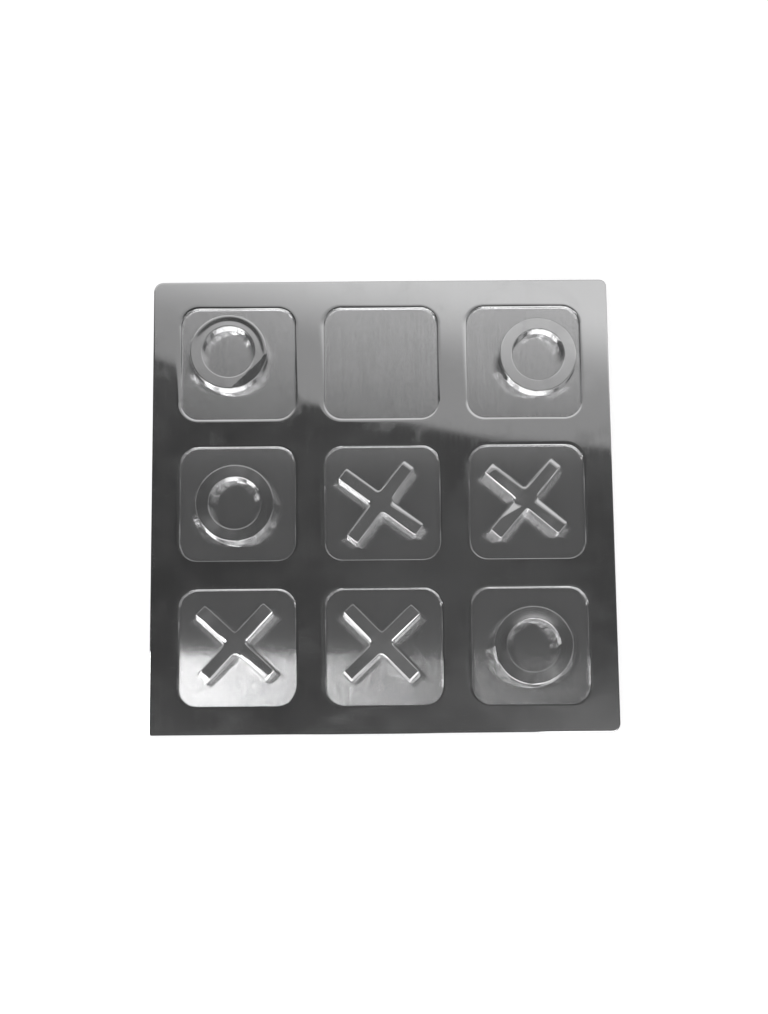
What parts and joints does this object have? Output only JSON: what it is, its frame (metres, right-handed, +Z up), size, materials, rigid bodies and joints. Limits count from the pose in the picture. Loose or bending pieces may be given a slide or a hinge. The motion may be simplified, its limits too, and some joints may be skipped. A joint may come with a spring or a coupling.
{
  "type": "tic-tac-toe board",
  "caption": "Square cast metal tic-tac-toe board with sunk wells, loose rings and crosses that lift out of the wells, and felt feet.",
  "frame": {"origin": "middle of the board's outline, on the surface that its felt feet stand on", "axes": "+X to the right and +Y away from the viewer as in the picture, +Z up out of the wells"},
  "size_m": [0.3, 0.3, 0.0155],
  "materials": {
    "board_metal": "mirror-polished frame, brushed well floors",
    "piece_metal": "mirror-polished by hand",
    "felt": "pressed felt"
  },
  "bodies": {
    "board": {"board": "board_metal", "foot_pad_front_left": "felt", "foot_pad_front_right": "felt", "foot_pad_back_left": "felt", "foot_pad_back_right": "felt"},
    "nought_back_left": {"nought_back_left": "piece_metal"},
    "nought_back_right": {"nought_back_right": "piece_metal"},
    "nought_middle_left": {"nought_middle_left": "piece_metal"},
    "nought_front_right": {"nought_front_right": "piece_metal"},
    "cross_centre": {"cross_centre": "piece_metal"},
    "cross_middle_right": {"cross_middle_right": "piece_metal"},
    "cross_front_left": {"cross_front_left": "piece_metal"},
    "cross_front_centre": {"cross_front_centre": "piece_metal"}
  },
  "joints": [
    {"name": "lift_nought_back_left", "type": "slide", "parent": "board", "child": "nought_back_left", "axis": [0, 0, 1], "range_m": [0, 0.03]},
    {"name": "lift_nought_back_right", "type": "slide", "parent": "board", "child": "nought_back_right", "axis": [0, 0, 1], "range_m": [0, 0.03]},
    {"name": "lift_nought_middle_left", "type": "slide", "parent": "board", "child": "nought_middle_left", "axis": [0, 0, 1], "range_m": [0, 0.03]},
    {"name": "lift_nought_front_right", "type": "slide", "parent": "board", "child": "nought_front_right", "axis": [0, 0, 1], "range_m": [0, 0.03]},
    {"name": "lift_cross_centre", "type": "slide", "parent": "board", "child": "cross_centre", "axis": [0, 0, 1], "range_m": [0, 0.03]},
    {"name": "lift_cross_middle_right", "type": "slide", "parent": "board", "child": "cross_middle_right", "axis": [0, 0, 1], "range_m": [0, 0.03]},
    {"name": "lift_cross_front_left", "type": "slide", "parent": "board", "child": "cross_front_left", "axis": [0, 0, 1], "range_m": [0, 0.03]},
    {"name": "lift_cross_front_centre", "type": "slide", "parent": "board", "child": "cross_front_centre", "axis": [0, 0, 1], "range_m": [0, 0.03]}
  ]
}
